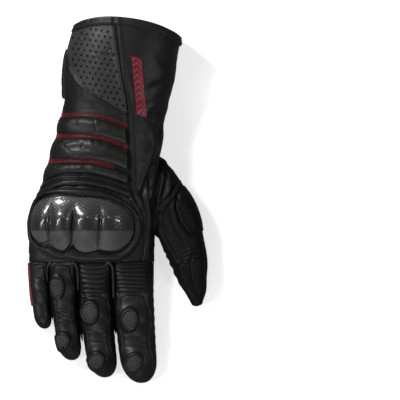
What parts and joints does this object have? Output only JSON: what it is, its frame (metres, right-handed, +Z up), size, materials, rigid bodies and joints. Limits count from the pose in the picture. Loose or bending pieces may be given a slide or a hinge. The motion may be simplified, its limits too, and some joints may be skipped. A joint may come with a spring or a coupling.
{
  "type": "motorcycle gauntlet glove",
  "caption": "Right-hand leather motorcycle gauntlet lying palm down, with a long flared cuff, quilted wrist, domed hard knuckle guard and ribbed stretch panels.",
  "frame": {"origin": "under the middle of the glove's box, on the surface that it lies on", "axes": "+Y from the fingertips to the cuff's mouth, +X towards the thumb, +Z up through the back of the hand"},
  "size_m": [0.163, 0.3318, 0.0661],
  "materials": {
    "black_leather": "satin grained",
    "binding_leather": "satin grained",
    "perforated_leather": "matt grained",
    "grip_leather": "matt pebbled",
    "carbon_guard": "clear-coated carbon weave",
    "vent_mesh": "matt mesh",
    "aramid_weave": "matt weave",
    "red_rubber": "satin"
  },
  "bodies": {
    "root": {"cuff_shell": "black_leather", "cuff_binding": "binding_leather", "hand_shell": "black_leather", "thumb_gusset": "black_leather", "thumb_stall": "black_leather", "index_finger": "black_leather", "index_stretch_panel": "black_leather", "index_vent_1": "vent_mesh", "index_vent_2": "vent_mesh", "middle_finger": "black_leather", "middle_stretch_panel": "black_leather", "middle_vent_1": "vent_mesh", "middle_vent_2": "vent_mesh", "ring_finger": "black_leather", "ring_vent_1": "vent_mesh", "ring_vent_2": "vent_mesh", "little_finger": "black_leather", "little_side_pad": "black_leather", "touch_pad": "grip_leather", "knuckle_guard": "carbon_guard", "knuckle_welt": "black_leather", "wrist_pad_1": "black_leather", "wrist_pad_2": "black_leather", "wrist_pad_3": "black_leather", "wrist_pad_4": "black_leather", "perforated_panel": "perforated_leather", "cuff_label": "red_rubber", "side_pleat": "black_leather", "cuff_flap": "black_leather", "wrist_strap": "black_leather", "strap_keeper": "binding_leather", "heel_pad": "black_leather", "heel_patch": "aramid_weave", "palm_patch": "grip_leather", "palm_label": "red_rubber", "thumb_guard": "black_leather", "thumb_stretch_panel": "black_leather"}
  },
  "joints": []
}
